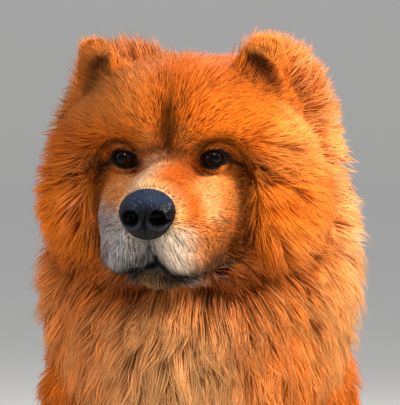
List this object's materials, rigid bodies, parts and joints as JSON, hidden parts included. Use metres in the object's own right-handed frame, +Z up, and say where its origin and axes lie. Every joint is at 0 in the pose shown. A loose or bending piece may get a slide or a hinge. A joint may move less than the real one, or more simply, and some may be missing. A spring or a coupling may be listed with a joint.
{
  "type": "dog",
  "caption": "Life-size standing chow chow with a thick red coat, a lion-like ruff, small upright ears and a plumed tail curled over its back, head turned a little.",
  "frame": {"origin": "on the floor under the middle of the bounding box", "axes": "+Z up, the animal faces -Y, +X is its left side"},
  "size_m": [0.3522, 0.683, 0.7029],
  "materials": {
    "red_fur": "matt, long double coat",
    "pale_fur": "matt, long pale plume",
    "muzzle_fur": "matt, short flat hair",
    "nose_leather": "moist, pebbled black skin",
    "eye": "wet, very dark brown",
    "claw": "smooth dark horn"
  },
  "bodies": {
    "root": {"ear_left": "red_fur", "ear_right": "red_fur", "eye_left": "eye", "eye_right": "eye", "fore_claw_left_1": "claw", "fore_claw_left_2": "claw", "fore_claw_left_3": "claw", "fore_claw_left_4": "claw", "fore_claw_right_1": "claw", "fore_claw_right_2": "claw", "fore_claw_right_3": "claw", "fore_claw_right_4": "claw", "foreleg_lower_left": "red_fur", "foreleg_lower_right": "red_fur", "foreleg_upper_left": "red_fur", "foreleg_upper_right": "red_fur", "forepaw_left": "red_fur", "forepaw_right": "red_fur", "head": "red_fur", "hind_claw_left_1": "claw", "hind_claw_left_2": "claw", "hind_claw_left_3": "claw", "hind_claw_left_4": "claw", "hind_claw_right_1": "claw", "hind_claw_right_2": "claw", "hind_claw_right_3": "claw", "hind_claw_right_4": "claw", "hindleg_hock_left": "red_fur", "hindleg_hock_right": "red_fur", "hindleg_thigh_left": "red_fur", "hindleg_thigh_right": "red_fur", "hindpaw_left": "red_fur", "hindpaw_right": "red_fur", "lower_jaw": "muzzle_fur", "muzzle": "muzzle_fur", "neck": "red_fur", "nose": "nose_leather", "tail_curl": "pale_fur", "tail_root": "pale_fur", "tail_tip": "pale_fur", "trunk": "red_fur"}
  },
  "joints": []
}
